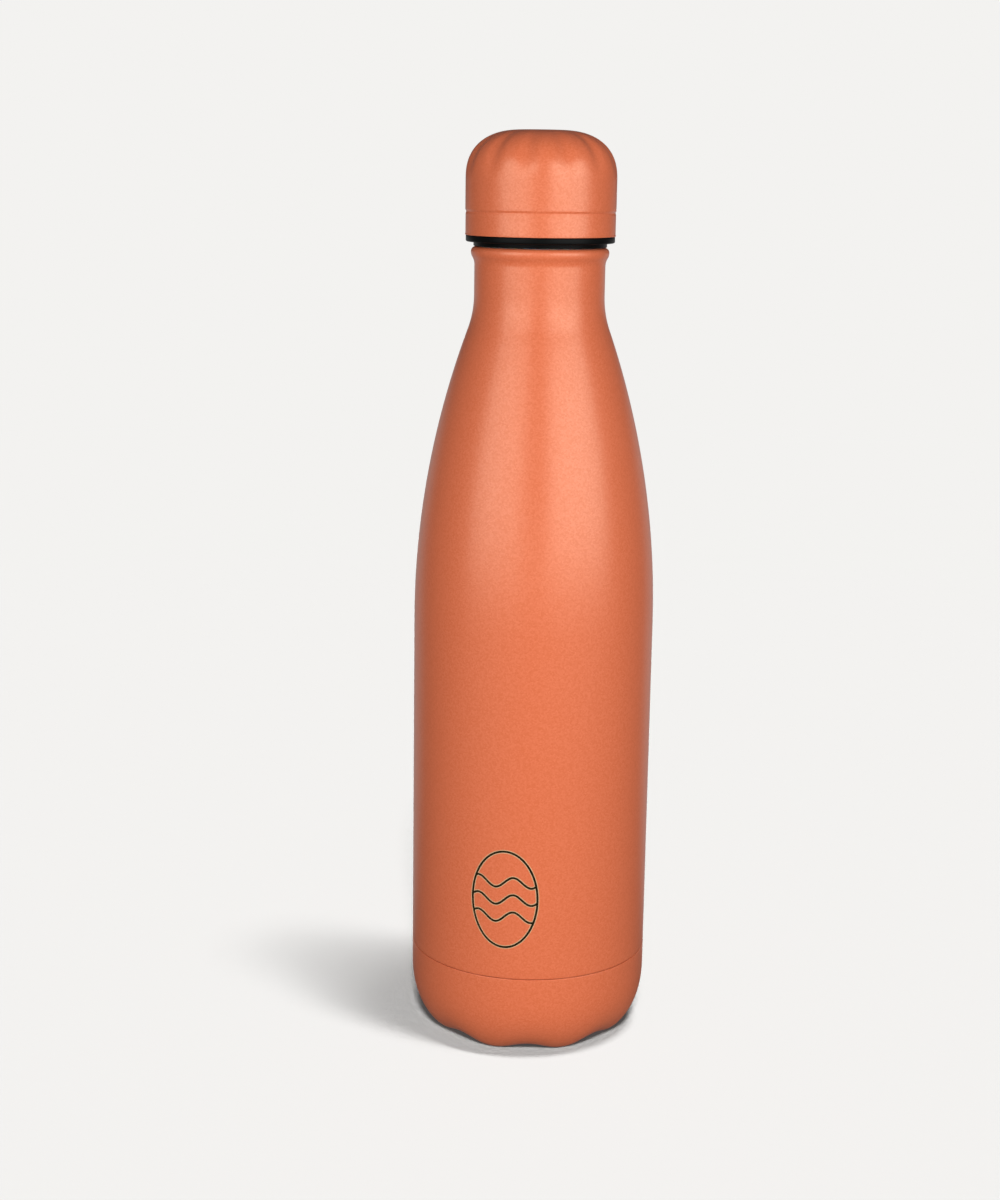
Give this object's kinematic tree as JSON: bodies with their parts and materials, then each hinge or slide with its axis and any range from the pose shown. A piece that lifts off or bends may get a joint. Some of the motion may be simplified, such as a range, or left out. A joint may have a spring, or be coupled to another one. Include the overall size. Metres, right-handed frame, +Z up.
{
  "type": "vacuum water bottle",
  "caption": "Slim double-wall steel water bottle in satin copper paint: long shoulder, narrow neck, lobed base and a domed screw cap with a threaded stopper.",
  "frame": {"origin": "on the bottle's axis at the surface it stands on", "axes": "+Z up along the bottle's axis, -Y is the front with the printed mark, +X to the right"},
  "size_m": [0.07, 0.07, 0.2638],
  "materials": {
    "copper_paint": "satin metallic copper lacquer",
    "steel": "brushed stainless steel",
    "glass_solder": "dull glass solder",
    "copper_foil": "bright copper foil",
    "getter": "pressed metal powder",
    "silicone": "translucent silicone",
    "black_plastic": "fine-grained moulded polypropylene",
    "foam": "closed-cell foam"
  },
  "bodies": {
    "bottle": {"outer_shell": "copper_paint", "base_cup": "copper_paint", "vacuum_bottom": "steel", "sealing_bead": "glass_solder", "inner_flask": "steel", "inner_flask_bottom": "steel", "copper_foil": "copper_foil", "getter_tablet": "getter", "getter_clip": "steel"},
    "seal": {"cap_seal": "silicone"},
    "cap": {"cap_plug": "black_plastic", "plug_end_cap": "black_plastic", "cap_foam": "foam", "cap_dome": "copper_paint"}
  },
  "joints": [
    {"name": "cap_lift", "type": "slide", "parent": "bottle", "child": "seal", "axis": [0, 0, 1], "range_m": [0, 0.008]},
    {"name": "cap_turn", "type": "hinge", "parent": "seal", "child": "cap", "pos_m": [0, 0, 0.2315], "axis": [0, 0, 1], "range_deg": [0, 720]}
  ],
  "couplings": [
    {"joint": "cap_lift", "follows": "cap_turn", "m_per_rad": 0.00063662}
  ]
}
